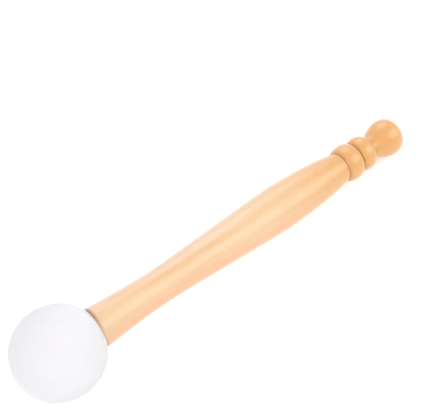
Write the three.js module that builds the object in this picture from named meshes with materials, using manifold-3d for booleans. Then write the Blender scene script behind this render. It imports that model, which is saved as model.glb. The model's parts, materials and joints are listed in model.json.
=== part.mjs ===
// Mallet for playing a singing bowl: a solid silicone rubber ball on a turned hardwood handle.
// A steel stud with a machine thread and a wood thread joins the two. It screws into a brass insert
// that is moulded into the ball, and into the end grain of the handle.
// Lengths are in millimetres. The mallet is laid out along its own axis, local +Y, from the ball's
// centre at zero towards the knob of the handle. It is then laid down as it rests on a table: +Z is up,
// the ball lies at -X, the knob at +X, and both touch the plane z = 0.
import * as THREE from "three";
import { mergeVertices } from "three/addons/utils/BufferGeometryUtils.js";
import Module from "manifold-3d";

const wasm = await Module();
wasm.setup();

// Ball
const ballDiameter = 40;
const seatLandWidth = 4.4; // flat ring round the insert's mouth, against which the handle is drawn up
const seatGap = 0.2; // between that flat and the handle

// Handle, stretch by stretch from the ball to the knob
const noseDiameter = 18.3;
const noseEdgeRadius = 0.6;
const noseLength = 32.1; // from the end face to the waist
const waistDiameter = 15.2;
const swellLength = 68.8; // from the waist to the fullest part of the grip
const gripDiameter = 20.7;
const taperLength = 38.1; // from there to the groove at the first bead
const grooveDiameter = 14.2;
const largeBeadDiameter = 18;
const largeBeadWidth = 9.4;
const creaseDiameter = 12.6; // bottom of the groove between the beads
const smallBeadDiameter = 17;
const smallBeadWidth = 8.4;
const coveDiameter = 11.6;
const coveWidth = 1.4;
const flareLength = 10.6; // from the cove to the widest part of the knob
const knobDiameter = 18.4;
const knobEndLength = 5.4; // from there to the flat end
const buttDiameter = 12.4; // flat end

// Machine thread between stud and insert
const threadDiameter = 6;
const threadPitch = 1;
const threadDepthShare = 0.613; // of the pitch
const threadClearance = 0.15;

// Insert
const insertWall = 1.2; // outside the machine thread
const insertLength = 14;
const insertFloor = 1.5; // closed end
const insertSink = 0.3; // how far its mouth lies below the ball's flat
const insertChamfer = 0.5;
const knurlHeight = 0.7;
const knurlDepth = 0.4;
const knurlBandLength = 3.8;
const knurlBandGap = 1.8;
const mouldClearance = 0.3; // between the insert and the rubber

// Stud
const studEndGap = 0.5; // beyond both its ends
const studEndChamfer = 0.4;
const shankDiameter = 5.2;
const shankDepth = 3; // how far the plain shank runs into the handle
const screwDiameter = 6;
const screwCoreDiameter = 4.2;
const screwPitch = 2.5;
const screwLength = 22;
const screwTipLength = 3;
const screwTipDiameter = 1.2;

const cutOverrun = 1; // how far a cutting form runs past the face that it opens

// How a thread's ridge rises within one turn: [share of the pitch, share of the depth]
const machineRidgeShares = [[0, 0], [0.5, 1]];
const woodRidgeShares = [[0, 0], [0.5, 0], [0.78, 1]];
const threadFadeTurns = 0.8;

// Where the handle's curves are pulled, along and across each stretch
const noseBendShares = { along: 0.3, across: 0.41, level: 0.375 };
const swellLevelShare = 0.195;
const taperBendShares = { level: 0.37, along: 0.775, across: 0.447 };
const flareLevelShares = { start: 0.25, end: 0.45 };

const turnedSides = 48;
const rodSides = 20;
const knurlSides = 40;
const ballSteps = 24;
const longCurveSteps = 14;
const shortCurveSteps = 8;
const beadQuarterSteps = 6;
const edgeSteps = 4;

const ballRadius = ballDiameter / 2;
const insertCoreRadius = threadDiameter / 2 + insertWall;
const seatRadius = insertCoreRadius + mouldClearance + seatLandWidth;
const seatY = Math.sqrt(ballRadius ** 2 - seatRadius ** 2);
const insertMouthY = seatY - insertSink;
const insertEndY = insertMouthY - insertLength;
const studEndY = insertEndY + insertFloor + studEndGap;
const noseY = seatY + seatGap;
const shankEndY = noseY + shankDepth;

// One solid with shared vertices, ready to be cut.
function toSolid(geometry) {
  geometry.deleteAttribute("normal");
  geometry.deleteAttribute("uv");
  const merged = mergeVertices(geometry);
  const corners = merged.index.array;
  const faces = [];
  for (let i = 0; i < corners.length; i += 3) {
    const [a, b, c] = corners.slice(i, i + 3);
    if (a !== b && b !== c && c !== a) faces.push(a, b, c);
  }
  const vertProperties = merged.attributes.position.array;
  return new wasm.Manifold(new wasm.Mesh({ numProp: 3, vertProperties, triVerts: new Uint32Array(faces) }));
}

function toMesh(name, solid, material) {
  const cut = solid.getMesh();
  const geometry = new THREE.BufferGeometry();
  geometry.setAttribute("position", new THREE.BufferAttribute(cut.vertProperties, 3));
  geometry.setIndex(new THREE.BufferAttribute(cut.triVerts, 1));
  geometry.computeVertexNormals();
  const mesh = new THREE.Mesh(geometry, material);
  mesh.name = name;
  return mesh;
}

// The skin of a round rod, built ring by ring from its lower end, with plain, notched and threaded stretches.
class RodSkin {
  constructor(sides) {
    this.sides = sides;
    this.points = [];
    this.faces = [];
  }

  point(radius, y, side) {
    const angle = (2 * Math.PI * side) / this.sides;
    this.points.push(radius * Math.sin(angle), y, radius * Math.cos(angle));
    return this.points.length / 3 - 1;
  }

  // Joins two neighbouring points of a lower line to the two above them.
  quad(low, nextLow, high, nextHigh) {
    this.faces.push(low, nextLow, high, nextHigh, high, nextLow);
  }

  // A ring whose odd points lie deeper by the notch.
  ring(radius, y, notch = 0) {
    const ring = [];
    for (let side = 0; side < this.sides; side += 1) {
      ring.push(this.point(side % 2 ? radius - notch : radius, y, side));
    }
    if (this.top) {
      ring.forEach((high, side) => {
        const next = (side + 1) % this.sides;
        this.quad(this.top[side], this.top[next], high, ring[next]);
      });
    } else {
      this.bottom = ring;
      this.bottomY = y;
    }
    this.top = ring;
    this.topY = y;
    return this;
  }

  // A right-hand thread from the ring below to a new ring of its root radius. Its lines climb with the
  // thread, and a line's last point is the first point of the same line one turn higher. The ridge fades
  // out at both ends, where a plain wedge leads from the climbing lines to the level rings.
  thread(rootRadius, crestRadius, pitch, turns, ridgeShares) {
    const { sides, top: start, topY: startY } = this;
    const lines = ridgeShares.length;
    const last = lines * turns;
    const grid = [];
    for (let line = 0; line <= last + lines; line += 1) {
      const [along, height] = ridgeShares[line % lines];
      const row = [];
      for (let side = 0; side < (line <= last ? sides : 1); side += 1) {
        const turn = Math.floor(line / lines) + side / sides;
        const fade = Math.max(0, Math.min(1, Math.min(turn, turns - turn) / threadFadeTurns));
        const radius = rootRadius + (crestRadius - rootRadius) * height * fade;
        row.push(line + side === 0 ? start[0] : this.point(radius, startY + pitch * (turn + along), side));
      }
      grid.push(row);
    }
    const endY = startY + pitch * (turns + 1);
    const end = [grid[last + lines][0]];
    for (let side = 1; side < sides; side += 1) end.push(this.point(rootRadius, endY, side));

    const at = (line, side) => (side === sides ? grid[line + lines][0] : grid[line][side]);
    for (let line = 0; line < last; line += 1) {
      for (let side = 0; side < sides; side += 1) {
        this.quad(at(line, side), at(line, side + 1), at(line + 1, side), at(line + 1, side + 1));
      }
    }
    this.faces.push(start[0], start[1], grid[0][1]);
    this.faces.push(grid[last][sides - 1], end[0], end[sides - 1]);
    for (let side = 1; side < sides - 1; side += 1) {
      this.quad(start[side], start[side + 1], grid[0][side], grid[0][side + 1]);
      this.quad(grid[last][side], grid[last][side + 1], end[side], end[side + 1]);
    }
    this.faces.push(start[sides - 1], start[0], grid[0][sides - 1]);
    this.faces.push(grid[last][1], end[1], end[0]);
    for (let line = 0; line < lines; line += 1) {
      this.faces.push(grid[0][sides - 1], grid[line][0], grid[line + 1][0]);
      this.faces.push(grid[last][1], grid[last + line + 1][0], grid[last + line][0]);
    }
    this.top = end;
    this.topY = endY;
    return this;
  }

  solid() {
    const lowest = this.point(0, this.bottomY, 0);
    const highest = this.point(0, this.topY, 0);
    for (let side = 0; side < this.sides; side += 1) {
      const next = (side + 1) % this.sides;
      this.faces.push(lowest, this.bottom[next], this.bottom[side]);
      this.faces.push(highest, this.top[side], this.top[next]);
    }
    const geometry = new THREE.BufferGeometry();
    geometry.setAttribute("position", new THREE.Float32BufferAttribute(this.points, 3));
    geometry.setIndex(this.faces);
    return toSolid(geometry);
  }
}

// The stud, or the form that cuts its thread in what it screws into, which is larger by the clearance.
function studForm(clearance, endGap) {
  const threadRadius = threadDiameter / 2 + clearance;
  const rootRadius = threadRadius - threadDepthShare * threadPitch;
  const screwRadius = screwDiameter / 2 + clearance;
  const coreRadius = screwCoreDiameter / 2 + clearance;
  const shankRadius = shankDiameter / 2 + clearance;
  const threadTurns = Math.floor((insertMouthY - studEndY - studEndChamfer) / threadPitch) - 1;
  const screwTurns = Math.max(1, Math.floor(screwLength / screwPitch) - 1);
  const rod = new RodSkin(rodSides);
  rod.ring(rootRadius - studEndChamfer, studEndY - endGap);
  rod.ring(rootRadius, studEndY + studEndChamfer);
  rod.thread(rootRadius, threadRadius, threadPitch, Math.max(1, threadTurns), machineRidgeShares);
  rod.ring(rootRadius, insertMouthY);
  rod.ring(shankRadius, noseY);
  rod.ring(shankRadius, shankEndY - (shankRadius - coreRadius));
  rod.ring(coreRadius, shankEndY);
  rod.thread(coreRadius, screwRadius, screwPitch, screwTurns, woodRidgeShares);
  rod.ring(screwTipDiameter / 2 + clearance, rod.topY + screwTipLength + endGap);
  return rod.solid();
}

// The insert's outside, or the form that it leaves in the rubber, which is larger by the clearance.
function insertForm(clearance, knurl, mouthY) {
  const coreRadius = insertCoreRadius + clearance;
  const rod = new RodSkin(knurlSides);
  rod.ring(coreRadius - insertChamfer, insertEndY - clearance);
  rod.ring(coreRadius, insertEndY - clearance + insertChamfer);
  const firstBandY = insertEndY + insertChamfer + knurlBandGap / 2;
  for (const bandY of [firstBandY, firstBandY + knurlBandLength + knurlBandGap]) {
    const lowY = bandY - clearance;
    const highY = bandY + knurlBandLength + clearance;
    rod.ring(coreRadius, lowY);
    rod.ring(coreRadius + knurlHeight, lowY, knurl);
    rod.ring(coreRadius + knurlHeight, highY, knurl);
    rod.ring(coreRadius, highY);
  }
  rod.ring(coreRadius, mouthY);
  return rod.solid();
}

function ballBlank() {
  const seatAngle = Math.atan2(seatY, seatRadius);
  const round = new THREE.EllipseCurve(0, 0, ballRadius, ballRadius, -Math.PI / 2, seatAngle);
  const outline = [...round.getPoints(ballSteps), new THREE.Vector2(0, seatY)];
  outline[0].x = 0;
  return toSolid(new THREE.LatheGeometry(outline, turnedSides));
}

// A quarter of an ellipse from one outline point to another, level with the axis at its wide end.
function quarterRound(from, to) {
  const rises = to.x > from.x;
  const centre = rises ? new THREE.Vector2(from.x, to.y) : new THREE.Vector2(to.x, from.y);
  const start = rises ? -Math.PI / 2 : 0;
  const across = Math.abs(to.x - from.x);
  return new THREE.EllipseCurve(centre.x, centre.y, across, to.y - from.y, start, start + Math.PI / 2);
}

// The handle's outline as (radius, distance along the axis), from the centre of its face at the ball
// to the centre of its flat end.
function handleOutline() {
  const outline = [new THREE.Vector2(0, noseY), new THREE.Vector2(noseDiameter / 2 - noseEdgeRadius, noseY)];
  const here = () => outline[outline.length - 1];
  const ahead = (diameter, length) => new THREE.Vector2(diameter / 2, here().y + length);
  const follow = (curve, steps) => outline.push(...curve.getPoints(steps).slice(1));
  const roundTo = (diameter, length, steps) => follow(quarterRound(here(), ahead(diameter, length)), steps);
  const bend = (to, first, second, steps) => {
    const from = here();
    const pull = ({ across, along }) =>
      new THREE.Vector2(
        THREE.MathUtils.lerp(from.x, to.x, across),
        THREE.MathUtils.lerp(from.y, to.y, along),
      );
    follow(new THREE.CubicBezierCurve(from, pull(first), pull(second), to), steps);
  };

  roundTo(noseDiameter, noseEdgeRadius, edgeSteps);
  bend(
    ahead(waistDiameter, noseLength - noseEdgeRadius),
    { across: noseBendShares.across, along: noseBendShares.along },
    { across: 1, along: 1 - noseBendShares.level },
    shortCurveSteps,
  );
  bend(
    ahead(gripDiameter, swellLength),
    { across: 0, along: swellLevelShare },
    { across: 1, along: 1 - swellLevelShare },
    longCurveSteps,
  );
  bend(
    ahead(grooveDiameter, taperLength),
    { across: 0, along: taperBendShares.level },
    { across: taperBendShares.across, along: taperBendShares.along },
    shortCurveSteps,
  );
  roundTo(largeBeadDiameter, largeBeadWidth / 2, beadQuarterSteps);
  roundTo(creaseDiameter, largeBeadWidth / 2, beadQuarterSteps);
  roundTo(smallBeadDiameter, smallBeadWidth / 2, beadQuarterSteps);
  roundTo(coveDiameter, smallBeadWidth / 2, beadQuarterSteps);
  outline.push(ahead(coveDiameter, coveWidth));
  bend(
    ahead(knobDiameter, flareLength),
    { across: 0, along: flareLevelShares.start },
    { across: 1, along: 1 - flareLevelShares.end },
    shortCurveSteps,
  );
  roundTo(buttDiameter, knobEndLength, beadQuarterSteps);
  outline.push(new THREE.Vector2(0, here().y));
  return outline;
}

const silicone = new THREE.MeshStandardMaterial({ color: 0xf1eff3, roughness: 0.62, metalness: 0 });
const hardwood = new THREE.MeshStandardMaterial({ color: 0xeec598, roughness: 0.38, metalness: 0 });
const brass = new THREE.MeshStandardMaterial({ color: 0xc8a35a, roughness: 0.35, metalness: 1 });
const steel = new THREE.MeshStandardMaterial({ color: 0xb9bcc0, roughness: 0.4, metalness: 1 });

const outline = handleOutline();
const threadCutter = studForm(threadClearance, studEndGap);
const pocket = insertForm(mouldClearance, 0, seatY + cutOverrun);

const mallet = new THREE.Group();
mallet.rotation.z = -Math.PI / 2;
mallet.add(
  toMesh("striker_ball", ballBlank().subtract(pocket), silicone),
  toMesh("ball_insert", insertForm(0, knurlDepth, insertMouthY).subtract(threadCutter), brass),
  toMesh("head_stud", studForm(0, 0), steel),
  toMesh("handle", toSolid(new THREE.LatheGeometry(outline, turnedSides)).subtract(threadCutter), hardwood),
);

// The axis droops towards the knob until the handle touches the table that the ball lies on.
const droopTo = ({ x: radius, y }) => Math.asin(ballRadius / Math.hypot(radius, y)) - Math.atan2(radius, y);
const droop = Math.min(...outline.filter((point) => point.length() > ballRadius).map(droopTo));

const lying = new THREE.Group();
lying.add(mallet);
lying.rotation.y = droop;
lying.position.z = ballRadius;
const extent = new THREE.Box3().setFromObject(lying, true);
lying.position.x = -(extent.min.x + extent.max.x) / 2;

const part = new THREE.Group();
part.add(lying);

export default part;
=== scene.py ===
"""Looks of a singing bowl mallet: a white silicone rubber ball on a turned, lacquered hardwood handle.

The mallet lies on a pale table, on its ball and its knob. Every turned piece is drawn as an outline of
(radius, distance along the mallet's axis from the ball's centre) and spun about that axis.
Lengths are in metres, and in millimetres where a comment says so.
"""

import json
import math

import bmesh
import bpy
from bpy.props import FloatProperty, FloatVectorProperty, IntProperty, PointerProperty
from mathutils import Matrix, Vector
from mathutils.geometry import interpolate_bezier


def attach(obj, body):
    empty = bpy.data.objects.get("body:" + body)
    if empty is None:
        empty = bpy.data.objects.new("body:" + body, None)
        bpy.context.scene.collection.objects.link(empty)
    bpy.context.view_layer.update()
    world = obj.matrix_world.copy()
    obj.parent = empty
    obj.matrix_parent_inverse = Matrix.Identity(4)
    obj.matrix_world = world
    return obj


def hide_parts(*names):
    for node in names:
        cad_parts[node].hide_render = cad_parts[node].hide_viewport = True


bl_info = {
    "name": "Singing bowl mallet",
    "version": (1, 0, 0),
    "blender": (4, 5, 0),
    "location": "3D View > Sidebar > Mallet",
    "description": "Builds a mallet with a silicone rubber ball on a turned hardwood handle",
    "category": "Object",
}

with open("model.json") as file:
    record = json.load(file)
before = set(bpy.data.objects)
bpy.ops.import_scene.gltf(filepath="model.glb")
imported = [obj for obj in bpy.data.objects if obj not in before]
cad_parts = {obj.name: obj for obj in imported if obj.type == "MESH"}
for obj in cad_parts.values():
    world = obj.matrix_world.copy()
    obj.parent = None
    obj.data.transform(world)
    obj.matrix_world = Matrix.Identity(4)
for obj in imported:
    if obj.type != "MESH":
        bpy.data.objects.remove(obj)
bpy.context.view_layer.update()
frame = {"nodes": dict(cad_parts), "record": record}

MALLET_BODY = "root"
MM = 0.001

# The photograph's frame and what was measured in it, in pixels
FRAME_WIDTH_PX = 436
FRAME_HEIGHT_PX = 416
FOCAL_PX = 900
BALL_CENTRE_PX = (58.4, 352.85)

# Where each curve of the handle is pulled, first and last, as (across, along) shares of its stretch
NOSE_PULLS = ((0.41, 0.3), (1, 0.625))
SWELL_PULLS = ((0, 0.195), (1, 0.805))
TAPER_PULLS = ((0, 0.37), (0.447, 0.775))
FLARE_PULLS = ((0, 0.25), (1, 0.55))

# Straight steps that each curve of an outline is drawn in
BALL_STEPS = 72
RIM_STEPS = 6
NOSE_STEPS = 28
SWELL_STEPS = 48
TAPER_STEPS = 36
BEAD_STEPS = 16
FLARE_STEPS = 24
KNOB_STEPS = 16

# Points closer than this are one point, and edges that turn by more than this stay sharp
WELD_DISTANCE = 1e-7
SHARP_ANGLE = math.radians(28)

# Growth rings of the handle, in millimetres: how far their pith lies beside the frame's zero and below it,
# how far apart they are, how far they waver, and how far they close in on the pith in each millimetre of the
# way to the knob
PITH_SIDE = 53.4
PITH_DEPTH = 12.0
RING_SPACING = 12.0
RING_WAVER = 6.0
GRAIN_SLOPE = 0.04

# How far the rings are moved in towards the pith, as a share of their spacing
RING_SHIFT = 0.24

# Each of the pairs below says where something in the wood is nil, and then where it is full.
# In shares of a ring: where a growth band deepens, and where it pales again
BAND_DEEPENS = (0.54, 0.69)
BAND_PALES = (0.86, 0.75)

# In millimetres from the frame's zero: where along the mallet the bands have faded and the wood is golden,
# partly painted shade; where across and along it a painted sheen makes one side paler; and at what height
# painted warm shade lies on the underside
BANDS_FADE_ALONG = (-40, 10)
GOLD_AND_SHADE_ALONG = (10, 80)
SHEEN_ACROSS = (-1, 3)
SHEEN_ALONG = (25, -5)
UNDERSIDE_SHADE_HEIGHTS = (21.5, 16.5)

# Streaks in the wood: cells to a millimetre along the mallet and both ways across it
WAVER_CELLS = (0.011, 0.035, 0.035)
BREAK_CELLS = (0.025, 0.14, 0.14)
FIBRE_CELLS = (0.06, 1.8, 1.8)
RAY_CELLS = (0.32, 1.7, 1.7)
CLOUD_CELLS = (0.03, 0.1, 0.1)

# Levels of those streaks at which they leave a band whole and tint the wood
BAND_WHOLE = (0.25, 0.5)
FIBRE_TINTS = (0.4, 0.75)
RAY_TINTS = (0.66, 0.76)
CLOUD_TINTS = (0.4, 0.7)

# How strongly each shows in the wood's colour, and how much of a band is gone towards the knob
BAND_TINT = 0.55
BAND_FADE = 0.36
FIBRE_TINT = 0.5
CLOUD_TINT = 0.15
UNDERSIDE_SHADE_TINT = 0.93
RAY_TINT = 0.22
END_GRAIN_TINT = 0.3

# The wood under its lacquer: how rough it is, what the fibres add, and what the polish of its golden end
# takes off. The rays lie lower than the fibres by a share of their height
WOOD_ROUGHNESS = 0.38
FIBRE_ROUGHNESS = 0.16
GOLD_POLISH = 0.14
RAY_SINK = 0.3
WOOD_RELIEF = 0.03 * MM

# Ripples in the lacquer: cells to a millimetre, and how high they are
RIPPLE_CELLS = 0.9
RIPPLE_RELIEF = 0.02 * MM

# Painted shade in the grooves and on one side of the rim at the ball: how dark it is and how far it reaches,
# which side of the rim is shaded, and how strong the shade still is a quarter turn from there
GROOVE_SHADE = 0.3
GROOVE_REACH = 0.7 * MM
COVE_REACH = 1.1 * MM
RIM_SHADE = 0.8
RIM_REACH = 1.3 * MM
SHADED_SIDE = (0, 0.89, 0.45)
SHADE_SPREAD = 0.35

# The ball's rubber: cells to a metre of its faint clouds, its pores and its skin, the pores' share in the
# relief, and how high that is
RUBBER_CLOUD_CELLS = 60
RUBBER_PORE_CELLS = 900
RUBBER_SKIN_CELLS = 2600
RUBBER_CLOUD_TINTS = (0.35, 0.7)
RUBBER_PORE_SHARE = 0.6
RUBBER_RELIEF = 0.02 * MM

# How rough the rubber is, and what its pores add
RUBBER_ROUGHNESS = 0.52
PORE_ROUGHNESS = 0.12

# Metal: cells to a millimetre of its turning marks and its dull patches, and how dark and how rough they
# make it
MARK_CELLS = (9.0, 0.4, 0.4)
DULL_CELLS = 0.6
DULL_TINTS = (0.45, 0.8)
DULL_SHADE = 0.62
MARK_ROUGHNESS = 0.22
MARK_RELIEF = 0.01 * MM

# Kinds of ray that see white surroundings, and the light that the table adds for them
WHITE_RAYS = ("Is Camera Ray", "Is Glossy Ray", "Is Transmission Ray")
TABLE_LIFT = 0.44

# Directions in which the lamps stand, seen from the mallet
KEY_WAY = (0.59, -0.44, 0.68)
FILL_WAY = (-0.81, -0.36, 0.46)
BACK_WAY = (0.39, 0.72, 0.57)


def distance(name, default, description):
    return FloatProperty(
        name=name, description=description, default=default, min=0.0, precision=5,
        unit="LENGTH", subtype="DISTANCE",
    )


def angle(name, degrees, description):
    return FloatProperty(
        name=name, description=description, default=math.radians(degrees),
        unit="ROTATION", subtype="ANGLE",
    )


def power(name, watts, description):
    return FloatProperty(name=name, description=description, default=watts, min=0.0, unit="POWER")


def colour(name, default, description):
    """A colour property whose default is written in the 0 to 255 steps of a colour picker."""
    linear = [((step / 255 + 0.055) / 1.055) ** 2.4 for step in default]
    return FloatVectorProperty(
        name=name, description=description, default=linear, min=0.0, max=1.0,
        size=3, subtype="COLOR",
    )


class BallSizes(bpy.types.PropertyGroup):
    diameter: distance("Diameter", 0.040, "Across the rubber ball")
    seat_diameter: distance("Seat", 0.0178, "Across the small flat that the handle is drawn up to")
    pocket_mouth: distance("Pocket mouth", 0.009, "Across the pocket for the insert, at its mouth")
    pocket_diameter: distance("Pocket", 0.0104, "Across the pocket, round the insert's knurls")
    pocket_neck: distance("Pocket neck", 0.0032, "How far in the pocket widens")
    pocket_depth: distance("Pocket depth", 0.0146, "From the flat to the pocket's floor")


class HandleSizes(bpy.types.PropertyGroup):
    seat_gap: distance("Seat gap", 0.00005, "Between the ball's flat and the handle")
    nose_diameter: distance("Nose", 0.0183, "Across the flared end at the ball")
    nose_edge: distance("Nose edge", 0.0006, "Radius of the eased rim")
    nose_length: distance("Nose length", 0.03225, "From the end face to the waist")
    waist_diameter: distance("Waist", 0.0152, "Across the slimmest part")
    swell_length: distance("Swell length", 0.0688, "From the waist to the fullest part of the grip")
    grip_diameter: distance("Grip", 0.0207, "Across the fullest part of the grip")
    taper_length: distance("Taper length", 0.0381, "From there to the groove at the first bead")
    groove_diameter: distance("Groove", 0.0142, "Across the groove at the first bead")
    large_bead_diameter: distance("Large bead", 0.018, "Across the bead next to the grip")
    large_bead_width: distance("Large bead width", 0.0094, "Along the handle")
    crease_diameter: distance("Crease", 0.0126, "Across the groove between the beads")
    small_bead_diameter: distance("Small bead", 0.017, "Across the second bead")
    small_bead_width: distance("Small bead width", 0.0084, "Along the handle")
    cove_diameter: distance("Cove", 0.0116, "Across the narrow neck at the knob")
    cove_width: distance("Cove width", 0.0014, "Along the handle")
    flare_length: distance("Flare length", 0.0106, "From the cove to the widest part of the knob")
    knob_diameter: distance("Knob", 0.0184, "Across the knob")
    knob_end_length: distance("Knob end", 0.0054, "From the knob's widest part to its flat end")
    butt_diameter: distance("Butt", 0.0124, "Across the flat end")
    bore_diameter: distance("Bore", 0.0064, "Across the hole for the stud")
    bore_length: distance("Bore length", 0.0254, "Straight part of that hole")
    bore_tip_length: distance("Bore tip", 0.003, "Cone at its bottom")


class MalletColours(bpy.types.PropertyGroup):
    silicone: colour("Silicone", (249, 247, 254), "Rubber of the ball")
    silicone_shade: colour("Silicone shade", (247, 244, 252), "Faint clouding in the rubber")
    wood: colour("Wood", (248, 209, 163), "Pale wood between the growth bands")
    wood_band: colour("Growth band", (242, 188, 126), "Golden wood and shade of a growth band")
    # Paler colour of one side of the handle, a painted sheen
    wood_painted_sheen: colour("Sheen side", (250, 212, 180), "Paler wood on one side, painted sheen")
    # Warmer colour of the handle's underside, painted shade
    wood_underside_shade: colour("Underside shade", (254, 190, 140), "Warmer wood on the underside, painted shade")
    # Golden colour towards the knob: partly the wood's own tone, partly painted shade
    wood_gold_and_shade: colour("Golden wood and shade", (240, 173, 88), "Wood towards the knob, golden partly from painted shade")
    wood_fleck: colour("Fleck", (190, 130, 84), "Small rays in the wood")
    # Colour of the painted shade in the grooves and on one side of the rim at the ball
    wood_painted_shade: colour("Groove and rim shade", (146, 92, 62), "Painted shade in the grooves and round the rim")
    brass: colour("Brass", (205, 168, 92), "Insert in the ball")
    steel: colour("Steel", (186, 189, 194), "Plated stud")
    table: colour("Table", (236, 236, 236), "Table that the mallet lies on")


class StageSettings(bpy.types.PropertyGroup):
    view_turn: angle("View turn", -38.88, "How far the camera is turned round from the mallet's side")
    view_height: angle("View height", 57.16, "How far the camera looks down")
    view_distance: distance("View distance", 0.374, "From the camera to the ball's centre")
    table_size: distance("Table size", 6.0, "Along each side of the table")
    lamp_distance: distance("Lamp distance", 1.2, "From each lamp to the middle of the mallet")
    key_power: power("Key power", 3.8, "Watts of the lamp that shines in the lacquer")
    key_width: distance("Key width", 1.3, "Along that lamp")
    key_height: distance("Key height", 0.8, "Across that lamp")
    key_lean: angle("Key lean", -45.0, "How far that lamp is turned about the way it faces")
    fill_power: power("Fill power", 3.0, "Watts of the lamp at the ball's end")
    fill_size: distance("Fill size", 0.9, "Across that lamp")
    back_power: power("Back power", 2.1, "Watts of the lamp behind the mallet")
    back_size: distance("Back size", 0.85, "Across that lamp")
    sky: FloatProperty(
        name="Sky", description="Strength of the even light all round", default=0.69, min=0.0,
    )


class MalletSettings(bpy.types.PropertyGroup):
    ball: PointerProperty(type=BallSizes)
    handle: PointerProperty(type=HandleSizes)
    colours: PointerProperty(type=MalletColours)
    stage: PointerProperty(type=StageSettings)
    turned_steps: IntProperty(
        name="Turned steps", description="Faces round a turned piece", default=128, min=3,
    )


# Places on the mallet


def settings():
    return bpy.context.scene.mallet


def butt_mount():
    """The flat end of the handle, as the record states it: its centre and the way it faces."""
    mount = next(m for m in frame["record"]["mounts"] if m["name"] == "butt_face")
    return Vector(mount["pos_m"]), Vector(mount["axis"]).normalized()


def seat_distance(ball):
    """From the ball's centre to its small flat."""
    return math.sqrt(ball.diameter**2 - ball.seat_diameter**2) / 2


def handle_length(sizes):
    return (
        sizes.nose_length + sizes.swell_length + sizes.taper_length + sizes.large_bead_width
        + sizes.small_bead_width + sizes.cove_width + sizes.flare_length + sizes.knob_end_length
    )


def lay_down():
    """Turns local Z into the mallet's axis and puts zero at the ball's centre."""
    centre, axis = butt_mount()
    mallet = settings()
    reach = seat_distance(mallet.ball) + mallet.handle.seat_gap + handle_length(mallet.handle)
    side = Vector((0, 1, 0))
    turn = Matrix((side.cross(axis), side, axis)).transposed().to_4x4()
    return Matrix.Translation(centre - axis * reach) @ turn


# Shapes


class Outline:
    """Points of (radius, distance) that are drawn one stretch after another."""

    def __init__(self, radius, along):
        self.points = [Vector((radius, along))]

    @property
    def here(self):
        return self.points[-1]

    def line(self, radius, along):
        self.points.append(Vector((radius, along)))

    def line_on(self, radius, length):
        self.line(radius, self.here.y + length)

    def round_on(self, radius, length, steps):
        """A quarter of an ellipse whose wide end is level with the axis."""
        start, rise = self.here.copy(), radius - self.here.x
        for step in range(1, steps + 1):
            turn = math.pi / 2 * step / steps
            across = math.sin(turn) if rise > 0 else 1 - math.cos(turn)
            along = 1 - math.cos(turn) if rise > 0 else math.sin(turn)
            self.line(start.x + rise * across, start.y + length * along)

    def bend_on(self, radius, length, pulls, steps):
        """A smooth stretch, pulled at two (across, along) shares of the way."""
        start, end = self.here, Vector((radius, self.here.y + length))
        handles = [start + (end - start) * Vector(pull) for pull in pulls]
        self.points += interpolate_bezier(start, *handles, end, steps + 1)[1:]


def turned(name, outline):
    """A closed mesh spun from an outline about the mallet's axis, in its place in the shared frame."""
    bm = bmesh.new()
    chain = [bm.verts.new((point.x, 0, point.y)) for point in outline.points]
    edges = [bm.edges.new(pair) for pair in zip(chain, chain[1:])]
    bmesh.ops.spin(
        bm, geom=chain + edges, cent=(0, 0, 0), axis=(0, 0, 1), angle=2 * math.pi,
        steps=settings().turned_steps, use_merge=True,
    )
    bmesh.ops.remove_doubles(bm, verts=bm.verts, dist=WELD_DISTANCE)
    bmesh.ops.recalc_face_normals(bm, faces=bm.faces)
    bmesh.ops.transform(bm, matrix=lay_down(), verts=bm.verts)
    piece = linked(name, bm)
    piece.data.shade_smooth()
    piece.data.set_sharp_from_angle(angle=SHARP_ANGLE)
    return piece


def linked(name, bm):
    """An object in the scene with the mesh that was made in bm."""
    mesh = bpy.data.meshes.new(name)
    bm.to_mesh(mesh)
    bm.free()
    piece = bpy.data.objects.new(name, mesh)
    bpy.context.scene.collection.objects.link(piece)
    return piece


def ball_outline(ball):
    """The ball from its far side round to its flat, and the pocket down to its floor."""
    radius = ball.diameter / 2
    seat = seat_distance(ball)
    outline = Outline(0, -radius)
    seat_turn = math.atan2(seat, ball.seat_diameter / 2) + math.pi / 2
    for step in range(1, BALL_STEPS + 1):
        turn = seat_turn * step / BALL_STEPS
        outline.line(radius * math.sin(turn), -radius * math.cos(turn))
    outline.line(ball.pocket_mouth / 2, seat)
    outline.line_on(ball.pocket_mouth / 2, -ball.pocket_neck)
    outline.line_on(ball.pocket_diameter / 2, 0)
    outline.line(ball.pocket_diameter / 2, seat - ball.pocket_depth)
    outline.line_on(0, 0)
    return outline


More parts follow.
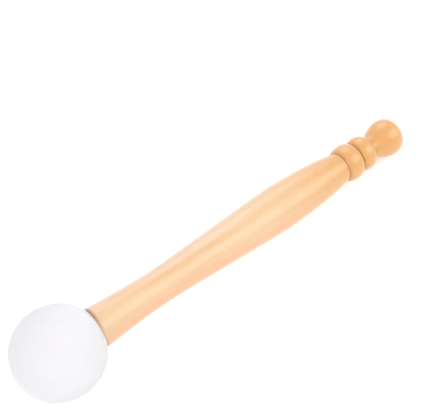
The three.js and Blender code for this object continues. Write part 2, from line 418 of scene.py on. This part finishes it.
def handle_outline(sizes, nose):
    """The handle from the bottom of its bore out over the rim and along its outside to the flat end."""
    outline = Outline(0, nose + sizes.bore_length + sizes.bore_tip_length)
    outline.line(sizes.bore_diameter / 2, nose + sizes.bore_length)
    outline.line(sizes.bore_diameter / 2, nose)
    outline.line(sizes.nose_diameter / 2 - sizes.nose_edge, nose)
    outline.round_on(sizes.nose_diameter / 2, sizes.nose_edge, RIM_STEPS)
    outline.bend_on(sizes.waist_diameter / 2, sizes.nose_length - sizes.nose_edge, NOSE_PULLS, NOSE_STEPS)
    outline.bend_on(sizes.grip_diameter / 2, sizes.swell_length, SWELL_PULLS, SWELL_STEPS)
    outline.bend_on(sizes.groove_diameter / 2, sizes.taper_length, TAPER_PULLS, TAPER_STEPS)
    outline.round_on(sizes.large_bead_diameter / 2, sizes.large_bead_width / 2, BEAD_STEPS)
    outline.round_on(sizes.crease_diameter / 2, sizes.large_bead_width / 2, BEAD_STEPS)
    outline.round_on(sizes.small_bead_diameter / 2, sizes.small_bead_width / 2, BEAD_STEPS)
    outline.round_on(sizes.cove_diameter / 2, sizes.small_bead_width / 2, BEAD_STEPS)
    outline.line_on(sizes.cove_diameter / 2, sizes.cove_width)
    outline.bend_on(sizes.knob_diameter / 2, sizes.flare_length, FLARE_PULLS, FLARE_STEPS)
    outline.round_on(sizes.butt_diameter / 2, sizes.knob_end_length, KNOB_STEPS)
    outline.line_on(0, 0)
    return outline


# Finishes


class Nodes:
    """Fills a node tree. A value is a number, a vector, a colour or another node's output."""

    def __init__(self, tree):
        self.tree = tree
        self.tree.nodes.clear()

    def node(self, kind, inputs=(), **options):
        """Adds a node with its inputs, which are (socket, value) pairs, and its options."""
        added = self.tree.nodes.new(kind)
        for option, value in options.items():
            setattr(added, option, value)
        for socket, value in dict(inputs).items():
            if isinstance(value, bpy.types.NodeSocket):
                self.tree.links.new(value, added.inputs[socket])
            else:
                added.inputs[socket].default_value = value
        return added

    def math(self, operation, *values, clamp=False):
        options = {"operation": operation, "use_clamp": clamp}
        return self.node("ShaderNodeMath", enumerate(values), **options).outputs[0]

    def product(self, first, *others):
        for other in others:
            first = self.math("MULTIPLY", first, other)
        return first

    def between(self, value, ends):
        """A smooth step from 0 at the first end to 1 at the second."""
        inputs = {"Value": value, "From Min": ends[0], "From Max": ends[1]}
        return self.node("ShaderNodeMapRange", inputs, interpolation_type="SMOOTHSTEP").outputs[0]

    def white_seen(self):
        """1 for a ray that sees white surroundings, and 0 for one that lights the mallet."""
        ray = self.node("ShaderNodeLightPath").outputs
        seen = ray[WHITE_RAYS[0]]
        for kind in WHITE_RAYS[1:]:
            seen = self.math("ADD", seen, ray[kind], clamp=True)
        return seen


class Finish(Nodes):
    """A procedural material that is built up node by node."""

    def __init__(self, name):
        self.material = bpy.data.materials.new(name)
        self.material.use_nodes = True
        super().__init__(self.material.node_tree)

    def piece_place(self):
        """Places on a piece, in metres of the shared frame."""
        return self.node("ShaderNodeTexCoord").outputs["Object"]

    def grain_place(self):
        """Places on a piece in millimetres, turned so that X runs along the mallet."""
        droop = math.asin(-butt_mount()[1].z)
        inputs = {"Vector": self.piece_place(), "Scale": (1 / MM,) * 3, "Rotation": (0, -droop, 0)}
        return self.node("ShaderNodeMapping", inputs).outputs[0]

    def noise(self, place, cells, detail=2.0, roughness=0.5):
        inputs = {"Vector": place, "Scale": cells, "Detail": detail, "Roughness": roughness}
        return self.node("ShaderNodeTexNoise", inputs).outputs["Fac"]

    def streaks(self, place, cells, detail=2.0, roughness=0.5):
        """Noise with its own number of cells along each axis."""
        stretched = self.node("ShaderNodeMapping", {"Vector": place, "Scale": cells}).outputs[0]
        return self.noise(stretched, 1.0, detail, roughness)

    def attribute(self, name):
        return self.node("ShaderNodeAttribute", attribute_name=name).outputs["Fac"]

    def blend(self, share, first, second):
        """Mixes two colours, which a Mix node takes in its sockets 6 and 7."""
        inputs = {0: share, 6: self.opaque(first), 7: self.opaque(second)}
        return self.node("ShaderNodeMix", inputs, data_type="RGBA").outputs[2]

    @staticmethod
    def opaque(value):
        return value if isinstance(value, bpy.types.NodeSocket) else (*value, 1.0)

    def bump(self, height, distance, strength):
        inputs = {"Height": height, "Distance": distance, "Strength": strength}
        return self.node("ShaderNodeBump", inputs).outputs[0]

    def surface(self, sockets):
        self.show(self.node("ShaderNodeBsdfPrincipled", sockets).outputs[0])

    def show(self, shader):
        self.node("ShaderNodeOutputMaterial", {"Surface": shader})


def silicone_finish(colours):
    """Matt white rubber with faint clouds and a fine moulded skin."""
    finish = Finish("matt_silicone")
    place = finish.piece_place()
    clouds = finish.noise(place, RUBBER_CLOUD_CELLS, detail=3)
    pores = finish.noise(place, RUBBER_PORE_CELLS, detail=1)
    relief = finish.math("MULTIPLY_ADD", pores, RUBBER_PORE_SHARE, finish.noise(place, RUBBER_SKIN_CELLS))
    cloudy = finish.between(clouds, RUBBER_CLOUD_TINTS)
    finish.surface({
        "Base Color": finish.blend(cloudy, colours.silicone, colours.silicone_shade),
        "Roughness": finish.math("MULTIPLY_ADD", pores, PORE_ROUGHNESS, RUBBER_ROUGHNESS),
        "Normal": finish.bump(relief, RUBBER_RELIEF, strength=0.4),
        "Subsurface Weight": 0.5,
        "Subsurface Radius": (1.0, 0.8, 1.0),
        "Subsurface Scale": 8 * MM,
        "Specular IOR Level": 0.22,
    })
    return finish.material


class WoodFinish(Finish):
    """Straight-grained pale hardwood under a clear lacquer, with its grain along the mallet."""

    def __init__(self, colours):
        super().__init__("lacquered_hardwood")
        self.colours = colours
        self.place = self.grain_place()
        self.along, self.side, self.height = self.node("ShaderNodeSeparateXYZ", {0: self.place}).outputs
        self.fibres = self.streaks(self.place, FIBRE_CELLS, detail=4, roughness=0.65)
        self.rays = self.between(self.streaks(self.place, RAY_CELLS, detail=1), RAY_TINTS)
        # Golden towards the knob, partly painted shade; the same share makes the lacquer smoother there
        self.gold_and_shade = self.between(self.along, GOLD_AND_SHADE_ALONG)
        ripples = self.noise(self.place, RIPPLE_CELLS, detail=1)
        relief = self.math("MULTIPLY_ADD", self.rays, -RAY_SINK, self.fibres)
        rough_fibres = self.math("MULTIPLY_ADD", self.fibres, FIBRE_ROUGHNESS, WOOD_ROUGHNESS)
        self.surface({
            "Base Color": self.marked(self.shade_and_gold(self.grain_and_sheen())),
            "Roughness": self.math("MULTIPLY_ADD", self.gold_and_shade, -GOLD_POLISH, rough_fibres),
            "Normal": self.bump(relief, WOOD_RELIEF, strength=0.35),
            "Specular IOR Level": 0.7,
            "Coat Weight": 1.0,
            "Coat Roughness": 0.34,
            "Coat IOR": 1.65,
            "Coat Normal": self.bump(ripples, RIPPLE_RELIEF, strength=0.4),
        })

    def ring(self):
        """How far out in its growth ring a place lies, from 0 to 1. The pith lies outside the blank."""
        side = self.math("ADD", self.side, PITH_SIDE)
        height = self.math("ADD", self.height, PITH_DEPTH)
        from_pith = self.node("ShaderNodeCombineXYZ", {"Y": side, "Z": height}).outputs[0]
        reach = self.node("ShaderNodeVectorMath", {0: from_pith}, operation="LENGTH").outputs["Value"]
        reach = self.math("MULTIPLY_ADD", self.along, GRAIN_SLOPE, reach)
        reach = self.math("MULTIPLY_ADD", self.streaks(self.place, WAVER_CELLS), RING_WAVER, reach)
        rings = self.math("DIVIDE", reach, RING_SPACING)
        return self.math("FRACT", self.math("ADD", rings, RING_SHIFT))

    def growth_band(self):
        """How strongly a band shows: not on the shaded underside, with breaks, and less towards the knob."""
        ring = self.ring()
        faded = self.product(self.between(self.along, BANDS_FADE_ALONG), BAND_FADE)
        return self.product(
            self.between(ring, BAND_DEEPENS),
            self.between(ring, BAND_PALES),
            self.between(self.streaks(self.place, BREAK_CELLS), BAND_WHOLE),
            self.between(self.height, UNDERSIDE_SHADE_HEIGHTS[::-1]),
            self.math("SUBTRACT", BAND_TINT, faded),
        )

    def grain_and_sheen(self):
        """Pale wood, paler on one side with a painted sheen, with golden bands, fibres and clouds."""
        # Painted sheen: one side of the handle paler, fading out towards the knob
        sheen = self.product(self.between(self.side, SHEEN_ACROSS), self.between(self.along, SHEEN_ALONG))
        pale = self.blend(sheen, self.colours.wood, self.colours.wood_painted_sheen)
        clouds = self.between(self.streaks(self.place, CLOUD_CELLS), CLOUD_TINTS)
        fibres = self.product(self.between(self.fibres, FIBRE_TINTS), FIBRE_TINT)
        golden = self.math("ADD", self.growth_band(), fibres)
        golden = self.math("MULTIPLY_ADD", clouds, CLOUD_TINT, golden, clamp=True)
        return self.blend(golden, pale, self.colours.wood_band)

    def shade_and_gold(self, wood):
        """The wood with painted warm shade on its underside, and its golden end, which is partly painted
        shade.
        """
        # Painted shade: warmer wood on the underside
        underside_shade = self.product(self.between(self.height, UNDERSIDE_SHADE_HEIGHTS), UNDERSIDE_SHADE_TINT)
        warm = self.blend(underside_shade, wood, self.colours.wood_underside_shade)
        # Golden towards the knob: partly the wood's own tone, partly painted shade
        return self.blend(self.gold_and_shade, warm, self.colours.wood_gold_and_shade)

    def marked(self, wood):
        """The wood with its rays, its end grain, and painted shade in the grooves and on one side of the
        rim.
        """
        rayed = self.blend(self.product(self.rays, RAY_TINT), wood, self.colours.wood_fleck)
        end_grain = self.product(self.attribute("end_grain"), END_GRAIN_TINT)
        ended = self.blend(end_grain, rayed, self.colours.wood_band)
        # Painted shade in the grooves and on one side of the rim at the ball
        return self.blend(self.attribute("painted_shade"), ended, self.colours.wood_painted_shade)


def turned_metal_finish(name, base, roughness):
    """Bare metal with fine marks round the mallet's axis and a few dull patches."""
    finish = Finish(name)
    place = finish.grain_place()
    marks = finish.streaks(place, MARK_CELLS, detail=3)
    dull = finish.between(finish.noise(place, DULL_CELLS, detail=3), DULL_TINTS)
    finish.surface({
        "Base Color": finish.blend(dull, base, [part * DULL_SHADE for part in base]),
        "Metallic": 1.0,
        "Roughness": finish.math("MULTIPLY_ADD", marks, MARK_ROUGHNESS, roughness),
        "Normal": finish.bump(marks, MARK_RELIEF, strength=0.5),
    })
    return finish.material


def table_finish(colours):
    """Matt pale table that looks white where no shadow falls."""
    finish = Finish("pale_table")
    matt = finish.node("ShaderNodeBsdfDiffuse", {"Color": finish.opaque(colours.table)}).outputs[0]
    lift = finish.product(finish.white_seen(), TABLE_LIFT)
    glow = finish.node("ShaderNodeEmission", {"Color": (1, 1, 1, 1), "Strength": lift}).outputs[0]
    finish.show(finish.node("ShaderNodeAddShader", {0: matt, 1: glow}).outputs[0])
    return finish.material


# Steps of the build


class MALLET_OT_ball(bpy.types.Operator):
    """Make the rubber ball with the pocket for its insert"""

    bl_idname = "mallet.ball"
    bl_label = "Ball"

    def execute(self, context):
        mallet = context.scene.mallet
        ball = turned("silicone_ball", ball_outline(mallet.ball))
        ball.data.materials.append(silicone_finish(mallet.colours))
        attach(ball, MALLET_BODY)
        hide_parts("striker_ball")
        return {"FINISHED"}


class MALLET_OT_handle(bpy.types.Operator):
    """Make the turned handle"""

    bl_idname = "mallet.handle"
    bl_label = "Handle"

    def execute(self, context):
        mallet = context.scene.mallet
        nose = seat_distance(mallet.ball) + mallet.handle.seat_gap
        handle = turned("turned_handle", handle_outline(mallet.handle, nose))
        self.mark(handle.data, mallet.handle, nose)
        handle.data.materials.append(WoodFinish(mallet.colours).material)
        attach(handle, MALLET_BODY)
        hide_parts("handle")
        return {"FINISHED"}

    @staticmethod
    def mark(mesh, sizes, nose):
        """Marks where shade is painted, in the grooves and on one side of the rim, and the end grain."""
        groove = nose + sizes.nose_length + sizes.swell_length + sizes.taper_length
        crease = groove + sizes.large_bead_width
        cove = crease + sizes.small_bead_width + sizes.cove_width / 2
        hollows = ((groove, GROOVE_REACH), (crease, GROOVE_REACH), (cove, COVE_REACH))
        to_axis = lay_down().inverted()
        turn = to_axis.to_3x3()
        shaded_side = turn @ Vector(SHADED_SIDE).normalized()
        painted_shade = mesh.attributes.new("painted_shade", "FLOAT", "POINT")
        end_grain = mesh.attributes.new("end_grain", "FLOAT", "POINT")
        for vertex in mesh.vertices:
            place = to_axis @ vertex.co
            outward = Vector((place.x, place.y, 0)).normalized()
            one_side = min(1.0, max(0.0, SHADE_SPREAD + outward.dot(shaded_side)))
            at_rim = math.exp(-(((place.z - nose) / RIM_REACH) ** 4))
            in_hollow = max(math.exp(-(((place.z - middle) / reach) ** 2)) for middle, reach in hollows)
            # Painted shade: darker in the grooves, and round the rim on the side that the ball shades
            painted_shade.data[vertex.index].value = max(GROOVE_SHADE * in_hollow, RIM_SHADE * at_rim * one_side)
            # Full where the wood faces along the mallet, and nil from 60 degrees away
            end_grain.data[vertex.index].value = max(0.0, 2 * abs((turn @ vertex.normal).z) - 1)


class MALLET_OT_fittings(bpy.types.Operator):
    """Give the hidden insert and stud their metal finishes"""

    bl_idname = "mallet.fittings"
    bl_label = "Insert and stud"

    def execute(self, context):
        colours = context.scene.mallet.colours
        self.finish("ball_insert", turned_metal_finish("turned_brass", colours.brass, roughness=0.24))
        self.finish("head_stud", turned_metal_finish("plated_steel", colours.steel, roughness=0.3))
        return {"FINISHED"}

    @staticmethod
    def finish(node, material):
        materials = frame["nodes"][node].data.materials
        materials.clear()
        materials.append(material)


class MALLET_OT_stage(bpy.types.Operator):
    """Set the pale table, the soft light and the camera"""

    bl_idname = "mallet.stage"
    bl_label = "Stage"

    def execute(self, context):
        scene = context.scene
        stage = scene.mallet.stage
        scene.view_settings.view_transform = "Standard"
        self.table(scene.mallet.colours, stage)
        self.sky(scene, stage)
        key_size = (stage.key_width, stage.key_height)
        self.lamp("key_lamp", KEY_WAY, stage, key_size, stage.key_power, stage.key_lean)
        self.lamp("fill_lamp", FILL_WAY, stage, (stage.fill_size,) * 2, stage.fill_power)
        self.lamp("back_lamp", BACK_WAY, stage, (stage.back_size,) * 2, stage.back_power)
        self.camera(scene, stage)
        return {"FINISHED"}

    @staticmethod
    def table(colours, stage):
        bm = bmesh.new()
        bmesh.ops.create_grid(bm, x_segments=2, y_segments=2, size=stage.table_size / 2)
        table = linked("table_top", bm)
        table.data.materials.append(table_finish(colours))

    @staticmethod
    def sky(scene, stage):
        """Even light all round the mallet, and plain white wherever it is seen."""
        scene.world = bpy.data.worlds.new("even_sky")
        scene.world.use_nodes = True
        sky = Nodes(scene.world.node_tree)
        levels = {"Value": sky.white_seen(), "To Min": stage.sky, "To Max": 1.0}
        strength = sky.node("ShaderNodeMapRange", levels).outputs[0]
        light = sky.node("ShaderNodeBackground", {"Color": (1, 1, 1, 1), "Strength": strength}).outputs[0]
        sky.node("ShaderNodeOutputWorld", {"Surface": light})

    @staticmethod
    def lamp(name, way, stage, size, watts, lean=0.0):
        """A soft oval lamp that faces the mallet, turned by its lean about the way it faces."""
        light = bpy.data.lights.new(name, "AREA")
        light.shape = "ELLIPSE"
        light.size, light.size_y = size
        light.energy = watts
        lamp = bpy.data.objects.new(name, light)
        away = Vector(way).normalized()
        facing = (-away).to_track_quat("-Z", "Y").to_matrix().to_4x4() @ Matrix.Rotation(lean, 4, "Z")
        lamp.matrix_world = Matrix.Translation(away * stage.lamp_distance) @ facing
        bpy.context.scene.collection.objects.link(lamp)

    @staticmethod
    def camera(scene, stage):
        """Turns the camera to the photograph's angle, then backs it off the ball along the ball's pixel."""
        lens = bpy.data.cameras.new("photo_camera")
        lens.sensor_fit = "HORIZONTAL"
        lens.lens = lens.sensor_width * FOCAL_PX / FRAME_WIDTH_PX
        lens.clip_start = 0.01
        raised = Matrix.Rotation(math.pi / 2 - stage.view_height, 4, "X")
        turn = Matrix.Rotation(stage.view_turn, 4, "Z") @ raised
        ball_x, ball_y = BALL_CENTRE_PX
        ray = Vector((ball_x - FRAME_WIDTH_PX / 2, FRAME_HEIGHT_PX / 2 - ball_y, -FOCAL_PX)).normalized()
        ball_centre = lay_down().translation
        camera = bpy.data.objects.new("photo_camera", lens)
        camera.matrix_world = Matrix.Translation(ball_centre - turn @ ray * stage.view_distance) @ turn
        scene.collection.objects.link(camera)
        scene.camera = camera


class MALLET_PT_build(bpy.types.Panel):
    """The steps of the build, and the sizes and colours that they use"""

    bl_label = "Singing bowl mallet"
    bl_idname = "MALLET_PT_build"
    bl_space_type = "VIEW_3D"
    bl_region_type = "UI"
    bl_category = "Mallet"

    def draw(self, context):
        for step in BUILD_STEPS:
            self.layout.operator(step.bl_idname)
        mallet = context.scene.mallet
        self.layout.prop(mallet, "turned_steps")
        for group in (mallet.ball, mallet.handle, mallet.colours, mallet.stage):
            box = self.layout.box()
            for name in group.__annotations__:
                box.prop(group, name)


BUILD_STEPS = (MALLET_OT_ball, MALLET_OT_handle, MALLET_OT_fittings, MALLET_OT_stage)
SETTINGS = (BallSizes, HandleSizes, MalletColours, StageSettings, MalletSettings)
CLASSES = (*SETTINGS, *BUILD_STEPS, MALLET_PT_build)


def register():
    for cls in CLASSES:
        bpy.utils.register_class(cls)
    bpy.types.Scene.mallet = PointerProperty(type=MalletSettings)


def unregister():
    del bpy.types.Scene.mallet
    for cls in reversed(CLASSES):
        bpy.utils.unregister_class(cls)


def main():
    """Builds the mallet and its stage."""
    register()
    bpy.ops.mallet.ball()
    bpy.ops.mallet.handle()
    bpy.ops.mallet.fittings()
    bpy.ops.mallet.stage()


if __name__ == "__main__":
    main()
